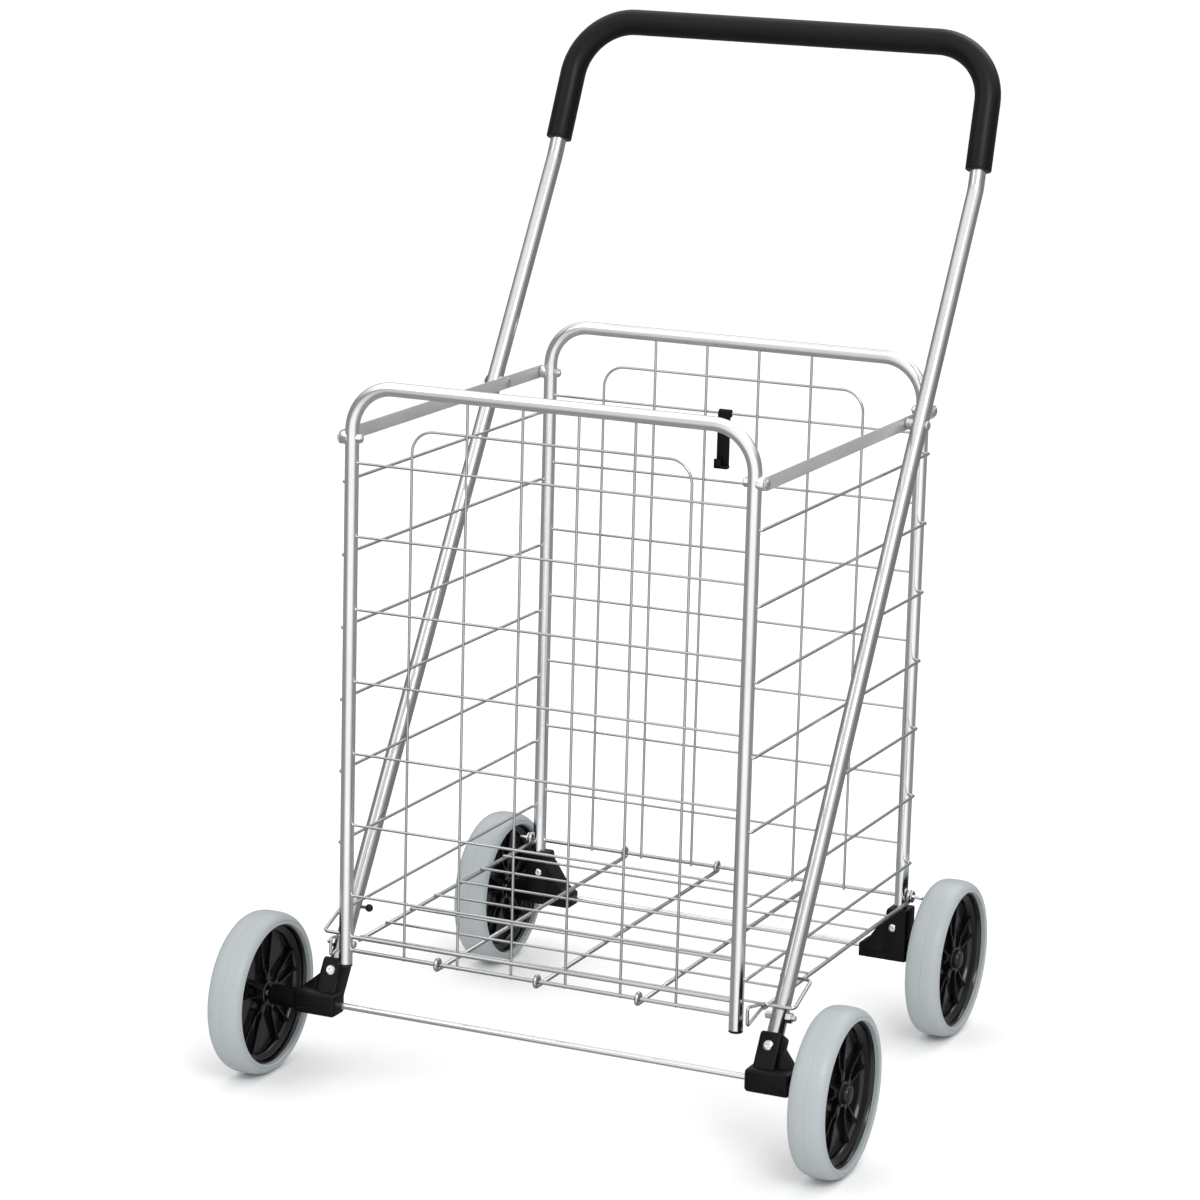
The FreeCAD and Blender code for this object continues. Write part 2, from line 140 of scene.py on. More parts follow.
def sweep(bm: Mesh, loop: list, centre: Vector, axis: Vector, angle: float, steps: int) -> Edges:
    """Extrude a loop of edges round a bend.

    Args:
        bm: Mesh being built.
        loop: Edges to extrude.
        centre: Centre of the bend.
        axis: Axis the bend turns about.
        angle: How far it turns, in radians.
        steps: Facets along the bend.

    Returns:
        The new loop.
    """
    verts = unique(vert for edge in loop for vert in edge.verts)
    last = bmesh.ops.spin(bm, geom=verts + loop, cent=centre, axis=axis, dvec=(0, 0, 0),
                          angle=angle, steps=steps, use_merge=False, use_duplicate=False)
    return edges_of(last["geom_last"])


def open_ring(bm: Mesh, at: Vector, direction: Vector, radius: float, segments: int) -> Edges:
    """Loop of edges round a point, square to a direction, to start a bar from."""
    verts = bmesh.ops.create_circle(bm, cap_ends=False, segments=segments, radius=radius,
                                    matrix=aim(direction, at))["verts"]
    return unique(edge for vert in verts for edge in vert.link_edges)


def close_end(bm: Mesh, loop: list, radius: float, tip: Tip) -> None:
    """Fill the end of a bar and ease its rim.

    Args:
        bm: Mesh being built.
        loop: Edges round the open end.
        radius: Radius of the bar.
        tip: How the end is finished.
    """
    bmesh.ops.contextual_create(bm, geom=loop)
    if tip is not Tip.SQUARE:
        bmesh.ops.bevel(bm, geom=loop, offset=radius * tip.value, segments=3, profile=0.5,
                        affect="EDGES", material=-1, clamp_overlap=True)


def bar(bm: Mesh, points: Sequence, radius: float, bend: float = 0.0,
        segments: int = 16, steps: int = 8, tips: tuple[Tip, Tip] = (Tip.EASED, Tip.EASED)) -> None:
    """Round bar of straight runs joined by tangent bends.

    Args:
        bm: Mesh being built.
        points: Ends and corners of the bar's axis.
        radius: Radius of the bar.
        bend: Radius of every bend, on the axis.
        segments: Facets round the bar.
        steps: Facets along each bend.
        tips: How the first and the last end are finished.
    """
    path = [Vector(point) for point in points]
    first = open_ring(bm, path[0], path[1] - path[0], radius, segments)
    loop, at = first, path[0]
    for before, corner, after in zip(path, path[1:], path[2:]):
        inward, outward = (corner - before).normalized(), (after - corner).normalized()
        angle = inward.angle(outward)
        back = bend * math.tan(angle / 2)
        axis = inward.cross(outward).normalized()
        begin = corner - inward * back
        if (begin - at).length > SHORTEST_RUN:
            loop = pull(bm, loop, begin - at)
        loop = sweep(bm, loop, begin + axis.cross(inward) * bend, axis, angle, steps)
        at = corner + outward * back
    if (path[-1] - at).length > SHORTEST_RUN:
        loop = pull(bm, loop, path[-1] - at)
    close_end(bm, first, radius, tips[0])
    close_end(bm, loop, radius, tips[1])


def turned(bm: Mesh, profile: Outline, at: Vector, axis: Vector,
           steps: int = 32, ring: bool = False) -> None:
    """Round part turned from an outline.

    Args:
        bm: Mesh being built.
        profile: Points of the outline as (distance along the axis, radius).
        at: Point the distances are counted from.
        axis: Axis of the part.
        steps: Facets round the part.
        ring: Whether the outline closes on itself, as on a tyre.
    """
    old = set(bm.verts)
    place = aim(axis, at)
    verts = [bm.verts.new(place @ Vector((radius, 0, along))) for along, radius in profile]
    edges = [bm.edges.new(pair) for pair in zip(verts, verts[1:])]
    if ring:
        edges.append(bm.edges.new((verts[-1], verts[0])))
    bmesh.ops.spin(bm, geom=verts + edges, cent=at, axis=axis, dvec=(0, 0, 0), angle=math.tau,
                   steps=steps, use_merge=True, use_duplicate=False)
    made = [vert for vert in bm.verts if vert not in old]
    bmesh.ops.remove_doubles(bm, verts=made, dist=0.001)


def turned_pair(bm: Mesh, profile: Outline, y: float, z: float,
                steps: int = 32, ring: bool = False) -> None:
    """The same round part on both sides, turned about one line across the trolley.

    Args:
        bm: Mesh being built.
        profile: Points of the outline as (distance from the middle, radius).
        y: Place of the line along the trolley.
        z: Height of the line.
        steps: Facets round the part.
        ring: Whether the outline closes on itself.
    """
    for side in Side:
        turned(bm, profile, Vector((0, y, z)), X * side.value, steps, ring)


def slab(bm: Mesh, outline: Sequence[Vector], depth: Vector, edge: float, segments: int = 3) -> None:
    """Plate with eased edges, extruded from a flat outline.

    Args:
        bm: Mesh being built.
        outline: Corners of the outline, in order.
        depth: How far and which way it is extruded.
        edge: Radius of the eased edges.
        segments: Facets across each eased edge.
    """
    corners = [bm.verts.new(point) for point in outline]
    face = bm.faces.new(corners)
    verts = verts_of(bmesh.ops.extrude_face_region(bm, geom=[face], use_keep_orig=True)["geom"])
    bmesh.ops.translate(bm, vec=depth, verts=verts)
    plate = corners + verts
    bmesh.ops.recalc_face_normals(bm, faces=unique(f for vert in plate for f in vert.link_faces))
    bmesh.ops.bevel(bm, geom=unique(rim for vert in plate for rim in vert.link_edges), offset=edge,
                    segments=segments, profile=0.5, affect="EDGES", material=-1, clamp_overlap=True)


def front_view(outline: Outline, y: float, sign: int = 1) -> list[Vector]:
    """Outline of (x, z) points in a plane across the trolley, mirrored where the sign is -1."""
    return [Vector((sign * x, y, z)) for x, z in outline]


def side_view(outline: Outline, x: float) -> list[Vector]:
    """Outline of (y, z) points in a plane along the trolley."""
    return [Vector((x, y, z)) for y, z in outline]


def rectangle(low: Pair, high: Pair) -> Outline:
    """Corners of a rectangle, in order, from its lowest and its highest one."""
    return [low, (high[0], low[1]), high, (low[0], high[1])]


def arc(centre: Pair, radius: float, start: float, end: float, steps: int) -> Outline:
    """Points along an arc in a flat outline.

    Args:
        centre: Centre of the arc.
        radius: Its radius.
        start: Angle it starts at, in degrees.
        end: Angle it ends at, in degrees.
        steps: Number of spaces between the points.

    Returns:
        The points, both ends included.
    """
    angles = [math.radians(start + (end - start) * step / steps) for step in range(steps + 1)]
    return [(centre[0] + radius * math.cos(a), centre[1] + radius * math.sin(a)) for a in angles]


# --- finishes ----------------------------------------------------------------
class Wiring:
    """Small helper that makes and joins the nodes of one tree."""

    def __init__(self, tree: bpy.types.NodeTree) -> None:
        """Start on an emptied tree."""
        self.tree = tree
        tree.nodes.clear()

    def node(self, kind: str, **settings: object) -> bpy.types.Node:
        """Make a node and set its properties or its inputs by name.

        Args:
            kind: Blender's name of the node type.
            settings: Properties, or default values of inputs with spaces as underscores.

        Returns:
            The new node.
        """
        made = self.tree.nodes.new(kind)
        for name, value in settings.items():
            if hasattr(made, name):
                setattr(made, name, value)
            else:
                made.inputs[name.replace("_", " ")].default_value = value
        return made

    def feed(self, node: bpy.types.Node, sources: dict[int | str, Socket]) -> None:
        """Link a socket to each of a node's inputs, given by name or number."""
        for place, source in sources.items():
            self.tree.links.new(source, node.inputs[place])

    def noise(self, **settings: float) -> bpy.types.Node:
        """Make a noise that lies still on the piece.

        Args:
            settings: Values of its inputs.

        Returns:
            The new node.
        """
        made = self.node("ShaderNodeTexNoise", **settings)
        self.feed(made, {"Vector": self.node("ShaderNodeTexCoord").outputs["Object"]})
        return made

    def ramp(self, source: Socket, low: float, high: float,
             to_low: float, to_high: float) -> Socket:
        """Stretch a value from one range to another.

        Args:
            source: The value.
            low: Start of the range it has.
            high: End of that range.
            to_low: Start of the range it gets.
            to_high: End of that range.

        Returns:
            The stretched value.
        """
        made = self.node("ShaderNodeMapRange")
        for socket, value in zip(made.inputs[1:5], (low, high, to_low, to_high)):
            socket.default_value = value
        self.feed(made, {0: source})
        return made.outputs[0]


FLOAT, COLOR = "NodeSocketFloat", "NodeSocketColor"


class Groups:
    """Shader groups that several finishes share, each made once."""

    @staticmethod
    def start(name: str, inputs: dict[str, tuple[str, object]],
              outputs: dict[str, str]) -> tuple[Wiring, bpy.types.Node, bpy.types.Node]:
        """Make a group that has its sockets and nothing in it yet.

        Args:
            name: Name of the group.
            inputs: Each input's name, with its type and default.
            outputs: Each output's name, with its type.

        Returns:
            The wiring of the new group, its input node and its output node.
        """
        tree = bpy.data.node_groups.new(name, "ShaderNodeTree")
        wires = Wiring(tree)
        for label, (kind, value) in inputs.items():
            socket = tree.interface.new_socket(label, in_out="INPUT", socket_type=kind)
            socket.default_value = value
        for label, kind in outputs.items():
            tree.interface.new_socket(label, in_out="OUTPUT", socket_type=kind)
        return wires, wires.node("NodeGroupInput"), wires.node("NodeGroupOutput")

    @staticmethod
    @cache
    def grain() -> bpy.types.NodeTree:
        """Fine surface grain: a height for a bump, from two sizes of noise."""
        wires, given, result = Groups.start(
            "fine_grain", {"Size": (FLOAT, 1.0), "Coarse": (FLOAT, 0.3)}, {"Height": FLOAT})
        fine = wires.noise(Detail=3.0, Roughness=0.6)
        coarse = wires.noise(Detail=2.0, Scale=60.0)
        mix = wires.node("ShaderNodeMix", data_type="FLOAT")
        wires.feed(fine, {"Scale": given.outputs["Size"]})
        wires.feed(mix, {0: given.outputs["Coarse"], 2: fine.outputs[0], 3: coarse.outputs[0]})
        wires.feed(result, {"Height": mix.outputs[0]})
        return wires.tree

    @staticmethod
    @cache
    def handling() -> bpy.types.NodeTree:
        """Faint clouding and rubbed patches that handling leaves on a surface."""
        wires, given, result = Groups.start(
            "handling", {"Clean": (COLOR, (0.8, 0.8, 0.8, 1)), "Worn": (COLOR, (0.7, 0.7, 0.7, 1)),
                         "Smooth": (FLOAT, 0.2), "Dull": (FLOAT, 0.3)},
            {"Color": COLOR, "Roughness": FLOAT})
        clouds = wires.noise(Scale=9.0, Detail=4.0, Roughness=0.55)
        specks = wires.noise(Scale=150.0, Detail=2.0)
        both = wires.node("ShaderNodeMath", operation="MULTIPLY")
        wires.feed(both, {0: wires.ramp(clouds.outputs[0], 0.35, 0.7, 0.0, 1.0),
                          1: wires.ramp(specks.outputs[0], 0.3, 0.7, 0.7, 1.0)})
        tint = wires.node("ShaderNodeMix", data_type="RGBA")
        wires.feed(tint, {0: both.outputs[0], 6: given.outputs["Clean"], 7: given.outputs["Worn"]})
        rough = wires.node("ShaderNodeMix", data_type="FLOAT")
        wires.feed(rough, {0: both.outputs[0], 2: given.outputs["Smooth"], 3: given.outputs["Dull"]})
        wires.feed(result, {"Color": tint.outputs[2], "Roughness": rough.outputs[0]})
        return wires.tree


@dataclass(frozen=True)
class Finish:
    """A surface finish: two tints, two roughnesses, and a grain."""

    name: str
    slot: str
    clean: tuple[float, float, float]
    worn: tuple[float, float, float]
    smooth: float
    dull: float
    metallic: float = 0.0
    grain_size: float = 900.0
    grain_coarse: float = 0.3
    grain_depth: float = 0.02
    specular: float = 0.5

    def material(self) -> bpy.types.Material:
        """The finish as a material, made on first use.

        Returns:
            The material.
        """
        title = self.name + "_finish"
        if title in bpy.data.materials:
            return bpy.data.materials[title]
        made = bpy.data.materials.new(title)
        made.use_nodes = True
        wires = Wiring(made.node_tree)
        shader = wires.node("ShaderNodeBsdfPrincipled", Metallic=self.metallic,
                            Specular_IOR_Level=self.specular)
        handling = wires.node("ShaderNodeGroup", node_tree=Groups.handling(), Clean=(*self.clean, 1.0),
                              Worn=(*self.worn, 1.0), Smooth=self.smooth, Dull=self.dull)
        grain = wires.node("ShaderNodeGroup", node_tree=Groups.grain(), Size=self.grain_size,
                           Coarse=self.grain_coarse)
        bump = wires.node("ShaderNodeBump", Strength=self.grain_depth, Distance=0.001)
        output = wires.node("ShaderNodeOutputMaterial")
        wires.feed(bump, {"Height": grain.outputs["Height"]})
        wires.feed(shader, {"Base Color": handling.outputs["Color"], "Normal": bump.outputs["Normal"],
                            "Roughness": handling.outputs["Roughness"]})
        wires.feed(output, {"Surface": shader.outputs["BSDF"]})
        return made


BRIGHT_TUBE = Finish(
    "bright_tube", "panel_tube", (0.86, 0.87, 0.88), (0.78, 0.79, 0.81), 0.15, 0.24,
    metallic=1.0, grain_depth=0.03)
BRIGHT_HANDLE = Finish(
    "bright_handle", "handle_steel", (0.62, 0.625, 0.63), (0.53, 0.535, 0.54), 0.15, 0.24,
    metallic=1.0, grain_depth=0.03)
BRIGHT_WIRE = Finish(
    "bright_wire", "panel_wire", (0.54, 0.545, 0.55), (0.45, 0.455, 0.46), 0.18, 0.3,
    metallic=1.0, grain_depth=0.05)
STRAP_STEEL = Finish(
    "strap_steel", "strap_steel", (0.52, 0.52, 0.525), (0.44, 0.44, 0.445), 0.4, 0.52,
    metallic=0.5, grain_size=500.0, grain_depth=0.05)
FASTENER_STEEL = Finish(
    "fastener_steel", "fastener_steel", (0.78, 0.78, 0.79), (0.6, 0.6, 0.61), 0.2, 0.36,
    metallic=1.0, grain_depth=0.06)
AXLE_STEEL = Finish(
    "axle_steel", "axle_steel", (0.84, 0.845, 0.85), (0.74, 0.745, 0.755), 0.16, 0.26,
    metallic=1.0, grain_depth=0.05)
BRACKET_PLASTIC = Finish(
    "bracket_plastic", "bracket_plastic", (0.003, 0.003, 0.0031), (0.005, 0.005, 0.0051), 0.34, 0.46,
    grain_size=1400.0, grain_depth=0.04, specular=0.14)
RIM_PLASTIC = Finish(
    "rim_plastic", "rim_plastic", (0.002, 0.002, 0.0021), (0.004, 0.004, 0.0041), 0.12, 0.2,
    grain_size=1200.0, grain_depth=0.02, specular=0.45)
CAP_PLASTIC = Finish(
    "cap_plastic", "cap_plastic", (0.006, 0.006, 0.0065), (0.012, 0.012, 0.0125), 0.2, 0.32,
    grain_size=1200.0, grain_depth=0.03, specular=0.4)
CLIP_PLASTIC = Finish(
    "clip_plastic", "clip_plastic", (0.003, 0.003, 0.0031), (0.005, 0.005, 0.0051), 0.3, 0.42,
    grain_size=1200.0, grain_depth=0.03, specular=0.1)
TIP_RUBBER = Finish(
    "tip_rubber", "tip_rubber", (0.006, 0.006, 0.0065), (0.012, 0.012, 0.012), 0.3, 0.45,
    grain_depth=0.05, specular=0.25)
GRIP_SLEEVE = Finish(
    "grip_sleeve", "grip_rubber", (0.002, 0.002, 0.0022), (0.004, 0.004, 0.0042), 0.36, 0.46,
    grain_size=700.0, grain_coarse=0.45, grain_depth=0.08, specular=0.22)
TYRE_RUBBER = Finish(
    "tyre_rubber", "tyre_rubber", (0.385, 0.418, 0.432), (0.360, 0.392, 0.405), 0.36, 0.48,
    grain_size=1100.0, grain_depth=0.05)


# --- finishing a piece -------------------------------------------------------
def linked(name: str, data: bpy.types.ID) -> bpy.types.Object:
    """Make an object of some data, and link it to the scene."""
    made = bpy.data.objects.new(name, data)
    bpy.context.scene.collection.objects.link(made)
    return made


@dataclass
class Piece:
    """One finished piece: its name, the nodes it stands for, its body and its finish."""

    name: str
    nodes: tuple[str, ...]
    body: str
    finish: Finish
    crease: float = 35.0

    def make(self, bm: Mesh) -> None:
        """Turn a built mesh into the piece, riding on its body.

        Args:
            bm: The finished mesh, in millimetres. It is freed.
        """
        bmesh.ops.scale(bm, vec=(MM, MM, MM), verts=bm.verts)
        bmesh.ops.recalc_face_normals(bm, faces=bm.faces)
        for face in bm.faces:
            face.smooth = True
        for edge in bm.edges:
            if len(edge.link_faces) == 2 and edge.calc_face_angle(0.0) > math.radians(self.crease):
                edge.smooth = False
        mesh = bpy.data.meshes.new(self.name)
        bm.to_mesh(mesh)
        bm.free()
        mesh.materials.append(self.finish.material())
        made = linked(self.name, mesh)
        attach(made, self.body)
        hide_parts(*self.nodes)
        LOG.info("%s: %d faces on %s", self.name, len(mesh.polygons), self.body)


@dataclass(frozen=True)
class Layout:
    """Where the frame's main lines run, in millimetres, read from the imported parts."""

    front_y: float
    rear_y: float
    leg_x: float
    leg_radius: float
    strap_x: float
    strap_z: float
    handle_x: float
    handle_top: float
    handle_top_y: float
    pivot_y: float
    lean: float
    front_axle_y: float
    rear_axle_y: float
    axle_z: float

    @classmethod
    def read(cls) -> "Layout":
        """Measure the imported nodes.

        Returns:
            The layout.
        """
        front, rear = limits("front_panel_tube"), limits("rear_panel_tube")
        strap, rivet = limits("strap_right"), middle(limits("handle_rivets"))
        tube, stop = limits("handle_tube"), middle(limits("stop_bolts"))
        radius = (front[1].y - front[0].y) / 2
        front_axle, rear_axle = limits("front_axle"), limits("rear_axle")
        return cls(front_y=middle(front).y, rear_y=middle(rear).y, leg_x=front[1].x - radius,
                   leg_radius=radius, strap_x=strap[0].x, strap_z=rivet.z,
                   handle_x=tube[1].x - HANDLE_RADIUS, handle_top=tube[1].z - HANDLE_RADIUS,
                   handle_top_y=tube[1].y - HANDLE_RADIUS, pivot_y=rivet.y,
                   lean=math.atan2(rivet.y - stop.y, rivet.z - stop.z),
                   front_axle_y=middle(front_axle).y, rear_axle_y=middle(rear_axle).y,
                   axle_z=middle(front_axle).z)

    def on_handle(self, z: float, offset: float = 0.0) -> Pair:
        """Point of a handle leg's axis at a height, or beside it.

        Args:
            z: Height on the axis.
            offset: How far in front of the leg, square to it.

        Returns:
            The point's Y and Z.
        """
        y = self.pivot_y + (z - self.strap_z) * math.tan(self.lean)
        return y - offset * math.cos(self.lean), z + offset * math.sin(self.lean)


def limits(node: str) -> tuple[Vector, Vector]:
    """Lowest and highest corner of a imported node, in millimetres."""
    low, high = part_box(node)
    return low / MM, high / MM


def middle(box: tuple[Vector, Vector]) -> Vector:
    """Middle of a box."""
    return (box[0] + box[1]) / 2


# --- panels ------------------------------------------------------------------
@dataclass
class Panel:
    """A panel of bent tube and welded wire."""

    lay: Layout
    name: str
    body: str
    y: float
    foot: float
    inward: int
    sills: tuple[float, ...]
    top: float = 689.5
    corner: float = 42.0
    wire: float = 1.3
    sill_wire: float = 2.0
    into_leg: float = 1.5
    weld: float = 0.4
    below_sill: float = 1.0
    upright_pitch: float = 56.6
    arch_top: float = 653.0
    arch_corner: float = 22.0

    def tube(self) -> None:
        """The inverted U of tube."""
        x = self.lay.leg_x
        bm = bmesh.new()
        bar(bm, [(-x, self.y, self.foot), (-x, self.y, self.top), (x, self.y, self.top),
                 (x, self.y, self.foot)], self.lay.leg_radius, self.corner, segments=40, steps=20)
        Piece(self.name + "_tube_bright", (self.name + "_tube",), self.body, BRIGHT_TUBE).make(bm)

    def wires(self) -> None:
        """Level wires, uprights, the inner arch and the sills."""
        bm = bmesh.new()
        reach = self.lay.leg_x - self.lay.leg_radius + self.into_leg
        rows = [(GRID_TOP - PITCH * level, self.wire, 12) for level in range(LEVELS)]
        rows += [(z, self.sill_wire, 16) for z in self.sills]
        for z, radius, segments in rows:
            bar(bm, [(-reach, self.y, z), (reach, self.y, z)], radius, segments=segments)
        y = self.y + self.inward * (2 * self.wire - self.weld)
        foot = self.sills[0] - self.sill_wire - self.below_sill
        for step in (-1.5, -0.5, 0.5, 1.5):
            x = step * self.upright_pitch
            bar(bm, [(x, y, foot), (x, y, self.top)], self.wire, segments=12)
        x = 2.5 * self.upright_pitch
        bar(bm, [(-x, y, foot), (-x, y, self.arch_top), (x, y, self.arch_top), (x, y, foot)],
            self.wire, self.arch_corner, segments=12, steps=12)
        Piece(self.name + "_wire_grid", (self.name + "_wires",), self.body, BRIGHT_WIRE).make(bm)


@dataclass
class StrapFixings:
    """Domed collars and bolts that hold the straps to one panel's legs."""

    lay: Layout
    word: str
    body: str
    y: float
    gap: float = 0.3
    strap: float = 1.5
    collar: float = 6.6
    hole: float = 2.7
    shank: float = 2.5
    shank_end: float = 196.0
    dome: float = 7.2
    dome_back: float = 4.6
    dome_angle: float = 43.5

    def make(self) -> None:
        """Build both collars and both bolts."""
        lay = self.lay
        collars, bolts = bmesh.new(), bmesh.new()
        foot, face = lay.leg_x + 3.0, lay.strap_x - self.gap
        turned_pair(collars, [(foot, self.collar), (face - 1.4, 6.5), (face - 0.4, 6.0), (face, 5.2),
                              (face, self.hole), (foot, self.hole)], self.y, lay.strap_z, ring=True)
        head = lay.strap_x + self.strap + self.gap
        dome = arc((head - self.dome_back, 0.0), self.dome, 0.0, self.dome_angle, 7)
        turned_pair(bolts, [*dome, (head, 5.0), (head, self.shank), (self.shank_end, self.shank),
                            (self.shank_end, 0.0)], self.y, lay.strap_z)
        nut = lay.leg_x - lay.leg_radius
        turned_pair(bolts, [(nut + 1.5, 4.8), (nut - 2.8, 4.8), (nut - 3.6, 4.0), (nut - 3.6, 2.6),
                            (nut - 4.6, 2.2), (nut - 4.6, 0.0)], self.y, lay.strap_z, steps=6)
        Piece(self.word + "_strap_collars", (self.word + "_strap_spacers",), self.body,
              BRIGHT_TUBE).make(collars)
        Piece(self.word + "_strap_bolt_set", (self.word + "_strap_bolts",), self.body,
              FASTENER_STEEL).make(bolts)


@dataclass
class FootPlugs:
    """Black plugs in the feet of the front legs."""

    lay: Layout

    def make(self) -> None:
        """Build both plugs."""
        bm = bmesh.new()
        radius = self.lay.leg_radius
        for side in Side:
            at = Vector((side.value * self.lay.leg_x, self.lay.front_y, FRONT_LEG_FOOT))
            turned(bm, [(3.0, 0.0), (3.0, radius - 1.1), (-0.05, radius - 1.1), (-0.05, radius + 0.1),
                        (-0.9, radius + 0.1), (-1.5, radius - 0.6), (-1.7, radius - 2.5), (-1.7, 0.0)],
                   at, Z)
        Piece("front_foot_plugs", ("front_leg_caps",), "front_frame", CAP_PLASTIC).make(bm)


# --- links -------------------------------------------------------------------
@dataclass
class Links:
    """Straps and side wires between the two panels."""

    lay: Layout
    thickness: float = 1.5
    height: float = 13.0
    wire: float = 1.5
    wire_x: float = 212.0
    wire_top: float = 597.4
    hook_end: float = 205.5
    hook_bend: float = 2.0

    def strap(self, side: Side) -> None:
        """One flat bar with rounded ends and eased edges.

        Args:
            side: The side it lies on.
        """
        lay, half = self.lay, self.height / 2
        outline = (arc((lay.front_y, lay.strap_z), half, 270, 90, 12)
                   + arc((lay.rear_y, lay.strap_z), half, 90, -90, 12))
        bm = bmesh.new()
        slab(bm, side_view(outline, side.value * lay.strap_x), X * (side.value * self.thickness), 0.35,
             segments=2)
        Piece("strap_%s_bar" % side.word, ("strap_" + side.word,), "straps", STRAP_STEEL).make(bm)

    def side_wire(self, side: Side, level: int) -> None:
        """One side wire, hooked into both legs.

        Args:
            side: The side it lies on.
            level: Its number, counted from the top.
        """
        lay, sign = self.lay, side.value
        z = self.wire_top - PITCH * (level - 1)
        bm = bmesh.new()
        bar(bm, [(sign * self.hook_end, lay.front_y, z), (sign * self.wire_x, lay.front_y, z),
                 (sign * self.wire_x, lay.rear_y, z), (sign * self.hook_end, lay.rear_y, z)],
            self.wire, self.hook_bend, segments=16, steps=6)
        node = "side_wire_%s_%d" % (side.word, level)
        Piece(node + "_rod", (node,), "side_link_%d" % level, BRIGHT_WIRE).make(bm)

    def make(self) -> None:
        """Build every strap and side wire."""
        for side in Side:
            self.strap(side)
            for level in range(1, LEVELS + 1):
                self.side_wire(side, level)


@dataclass
class Floor:
    """The wire floor, with eyes that turn on the panels' sills and the rear pins."""

    lay: Layout
    stout: float = 2.1
    thin: float = 1.3
    rail_x: float = 212.4
    rail_z: float = 136.0
    bars: tuple[float, ...] = (-104.5, 0.0, 104.5)
    first_cross: float = 149.0
    cross_pitch: float = 52.8
    cross_count: int = 7
    weld: float = 0.4
    pin: float = 2.0
    pin_end: float = 226.0
    washer: float = 6.0

    def eye(self, bm: Mesh, x: float, y: float, away: int) -> None:
        """Loop of wire round a cross bar.

        Args:
            bm: Mesh being built.
            x: Place across the trolley.
            y: Axis of the bar it goes round.
            away: Sign of the direction that points out of the floor.
        """
        first = open_ring(bm, Vector((x, y, self.rail_z)), Y * away, self.stout, 14)
        last = sweep(bm, first, Vector((x, y, SILL_Z)), X * away, math.radians(318), 26)
        close_end(bm, first, self.stout, Tip.SQUARE)
        close_end(bm, last, self.stout, Tip.EASED)

    def make(self) -> None:
        """Build the floor."""
        lay = self.lay
        bm = bmesh.new()
        for x in self.bars:
            bar(bm, [(x, lay.front_y, self.rail_z), (x, lay.rear_y, self.rail_z)], self.stout, segments=14)
            self.eye(bm, x, lay.front_y, -1)
            self.eye(bm, x, lay.rear_y, 1)
        centre = (lay.front_y + lay.rear_y) / 2
        ys = [centre + self.first_cross - self.cross_pitch * number for number in range(self.cross_count)]
        for side in Side:
            x = side.value * self.rail_x
            bar(bm, [(x, ys[-1] - 5.0, self.rail_z), (x, lay.rear_y, self.rail_z)], self.stout,
                segments=14, tips=(Tip.ROUND, Tip.EASED))
            self.eye(bm, x, lay.rear_y, 1)
        z = self.rail_z + self.stout + self.thin - self.weld
        for y in ys:
            reach = self.rail_x + 1.0
            bar(bm, [(-reach, y, z), (reach, y, z)], self.thin, segments=12, tips=(Tip.ROUND, Tip.ROUND))
        Piece("floor_grid", ("floor_panel",), "floor", BRIGHT_WIRE).make(bm)

    def pins(self) -> None:
        """Pins on the rear legs, with washers outside the floor's rails."""
        lay = self.lay
        bm = bmesh.new()
        foot, end = lay.leg_x + 4.0, self.pin_end
        face = self.rail_x + self.stout + 0.3
        turned_pair(bm, [(foot, 0.0), (foot, self.pin), (face, self.pin), (face, 5.6),
                         (face + 0.3, self.washer), (face + 1.3, self.washer), (face + 1.6, 5.6),
                         (face + 1.6, self.pin), (end - 0.6, self.pin), (end, 1.6), (end, 0.0)],
                    lay.rear_y, SILL_Z, steps=28)
        Piece("floor_pin_set", ("floor_hinge_pins",), "rear_frame", FASTENER_STEEL).make(bm)


